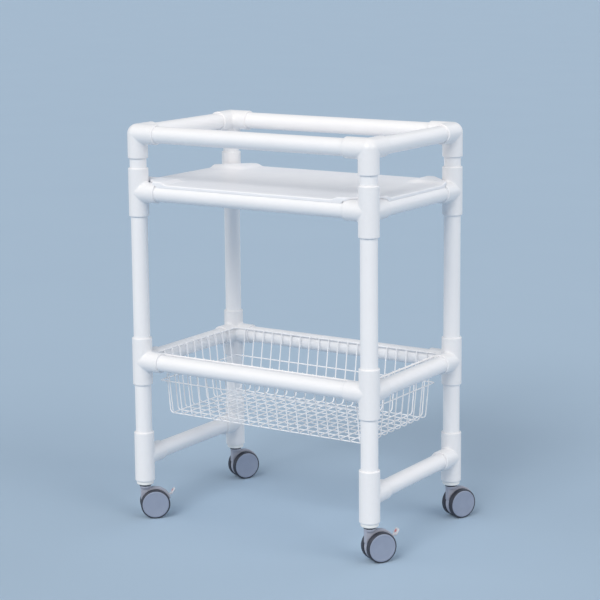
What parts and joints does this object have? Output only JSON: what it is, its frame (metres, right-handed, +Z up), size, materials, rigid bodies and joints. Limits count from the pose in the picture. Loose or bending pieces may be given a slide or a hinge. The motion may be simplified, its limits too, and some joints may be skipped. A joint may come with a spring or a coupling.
{
  "type": "medical chart rack",
  "caption": "Wheeled rack of round plastic pipe and moulded fittings, with a shelf panel inside an upper rail, a hanging wire basket below, and twin-wheel swivel casters with brake levers.",
  "frame": {"origin": "on the floor, midway between the four posts", "axes": "+Z up, +X along the long rails to the rack's right, +Y along the short rails to its back; the braked casters are at the front"},
  "size_m": [0.7462, 0.4932, 1.0154],
  "materials": {
    "pvc_pipe": "smooth extruded white PVC, semi-gloss",
    "pvc_fitting": "moulded white PVC, semi-gloss",
    "shelf_sheet": "thin moulded white sheet, satin",
    "coated_wire": "white dipped plastic coating over steel wire",
    "socket_nylon": "white moulded nylon",
    "ring_nylon": "dark moulded nylon",
    "stem_steel": "bright zinc plated",
    "axle_steel": "bright zinc plated",
    "caster_grey": "light grey moulded nylon",
    "wheel_grey": "grey moulded polypropylene",
    "lever_grey": "light grey moulded nylon",
    "tyre": "dark grey soft tread"
  },
  "bodies": {
    "root": {"top_elbow_front_left": "pvc_fitting", "top_elbow_front_right": "pvc_fitting", "top_elbow_back_right": "pvc_fitting", "top_elbow_back_left": "pvc_fitting", "shelf_cross_front_left": "pvc_fitting", "shelf_cross_front_right": "pvc_fitting", "shelf_cross_back_right": "pvc_fitting", "shelf_cross_back_left": "pvc_fitting", "basket_cross_front_left": "pvc_fitting", "basket_cross_front_right": "pvc_fitting", "basket_cross_back_right": "pvc_fitting", "basket_cross_back_left": "pvc_fitting", "foot_tee_front_left": "pvc_fitting", "foot_tee_front_right": "pvc_fitting", "foot_tee_back_right": "pvc_fitting", "foot_tee_back_left": "pvc_fitting", "top_long_rails": "pvc_pipe", "top_side_rails": "pvc_pipe", "shelf_long_rails": "pvc_pipe", "shelf_side_rails": "pvc_pipe", "basket_long_rails": "pvc_pipe", "basket_side_rails": "pvc_pipe", "foot_side_rails": "pvc_pipe", "upper_post_pipes": "pvc_pipe", "middle_post_pipes": "pvc_pipe", "lower_post_pipes": "pvc_pipe", "shelf_panel": "shelf_sheet", "stem_sockets": "socket_nylon", "caster_stems": "stem_steel", "swivel_rings": "ring_nylon"},
    "basket": {"basket_rim_wire": "coated_wire", "basket_band_wire": "coated_wire", "basket_front_to_back_wires": "coated_wire", "basket_side_to_side_wires": "coated_wire"},
    "front_left_caster": {"front_left_caster_housing": "caster_grey", "front_left_caster_axle": "axle_steel"},
    "front_left_left_wheel": {"front_left_caster_left_wheel": "wheel_grey", "front_left_caster_left_tyre": "tyre"},
    "front_left_right_wheel": {"front_left_caster_right_wheel": "wheel_grey", "front_left_caster_right_tyre": "tyre"},
    "front_left_brake_lever": {"front_left_brake_lever": "lever_grey"},
    "front_right_caster": {"front_right_caster_housing": "caster_grey", "front_right_caster_axle": "axle_steel"},
    "front_right_left_wheel": {"front_right_caster_left_wheel": "wheel_grey", "front_right_caster_left_tyre": "tyre"},
    "front_right_right_wheel": {"front_right_caster_right_wheel": "wheel_grey", "front_right_caster_right_tyre": "tyre"},
    "front_right_brake_lever": {"front_right_brake_lever": "lever_grey"},
    "back_right_caster": {"back_right_caster_housing": "caster_grey", "back_right_caster_axle": "axle_steel"},
    "back_right_left_wheel": {"back_right_caster_left_wheel": "wheel_grey", "back_right_caster_left_tyre": "tyre"},
    "back_right_right_wheel": {"back_right_caster_right_wheel": "wheel_grey", "back_right_caster_right_tyre": "tyre"},
    "back_left_caster": {"back_left_caster_housing": "caster_grey", "back_left_caster_axle": "axle_steel"},
    "back_left_left_wheel": {"back_left_caster_left_wheel": "wheel_grey", "back_left_caster_left_tyre": "tyre"},
    "back_left_right_wheel": {"back_left_caster_right_wheel": "wheel_grey", "back_left_caster_right_tyre": "tyre"}
  },
  "joints": [
    {"name": "basket_lift", "type": "slide", "parent": "root", "child": "basket", "axis": [0, 0, 1], "range_m": [0, 0.2]},
    {"name": "front_left_swivel", "type": "hinge", "parent": "root", "child": "front_left_caster", "pos_m": [-0.335, -0.202, 0.085], "axis": [0, 0, 1], "continuous": true},
    {"name": "front_left_left_wheel_spin", "type": "hinge", "parent": "front_left_caster", "child": "front_left_left_wheel", "pos_m": [-0.31716, -0.18594, 0.0375], "axis": [-0.6691, 0.7431, 0], "continuous": true},
    {"name": "front_left_right_wheel_spin", "type": "hinge", "parent": "front_left_caster", "child": "front_left_right_wheel", "pos_m": [-0.31716, -0.18594, 0.0375], "axis": [-0.6691, 0.7431, 0], "continuous": true},
    {"name": "front_left_brake_press", "type": "hinge", "parent": "front_left_caster", "child": "front_left_brake_lever", "pos_m": [-0.29322, -0.16438, 0.05464], "axis": [-0.6691, 0.7431, 0], "range_deg": [0, 30]},
    {"name": "front_right_swivel", "type": "hinge", "parent": "root", "child": "front_right_caster", "pos_m": [0.335, -0.202, 0.085], "axis": [0, 0, 1], "continuous": true},
    {"name": "front_right_left_wheel_spin", "type": "hinge", "parent": "front_right_caster", "child": "front_right_left_wheel", "pos_m": [0.34807, -0.18187, 0.0375], "axis": [-0.8387, 0.5446, 0], "continuous": true},
    {"name": "front_right_right_wheel_spin", "type": "hinge", "parent": "front_right_caster", "child": "front_right_right_wheel", "pos_m": [0.34807, -0.18187, 0.0375], "axis": [-0.8387, 0.5446, 0], "continuous": true},
    {"name": "front_right_brake_press", "type": "hinge", "parent": "front_right_caster", "child": "front_right_brake_lever", "pos_m": [0.36562, -0.15484, 0.05464], "axis": [-0.8387, 0.5446, 0], "range_deg": [0, 30]},
    {"name": "back_right_swivel", "type": "hinge", "parent": "root", "child": "back_right_caster", "pos_m": [0.335, 0.202, 0.085], "axis": [0, 0, 1], "continuous": true},
    {"name": "back_right_left_wheel_spin", "type": "hinge", "parent": "back_right_caster", "child": "back_right_left_wheel", "pos_m": [0.3459, 0.22338, 0.0375], "axis": [-0.891, 0.454, 0], "continuous": true},
    {"name": "back_right_right_wheel_spin", "type": "hinge", "parent": "back_right_caster", "child": "back_right_right_wheel", "pos_m": [0.3459, 0.22338, 0.0375], "axis": [-0.891, 0.454, 0], "continuous": true},
    {"name": "back_left_swivel", "type": "hinge", "parent": "root", "child": "back_left_caster", "pos_m": [-0.335, 0.202, 0.085], "axis": [0, 0, 1], "continuous": true},
    {"name": "back_left_left_wheel_spin", "type": "hinge", "parent": "back_left_caster", "child": "back_left_left_wheel", "pos_m": [-0.32337, 0.22299, 0.0375], "axis": [-0.8746, 0.4848, 0], "continuous": true},
    {"name": "back_left_right_wheel_spin", "type": "hinge", "parent": "back_left_caster", "child": "back_left_right_wheel", "pos_m": [-0.32337, 0.22299, 0.0375], "axis": [-0.8746, 0.4848, 0], "continuous": true}
  ]
}
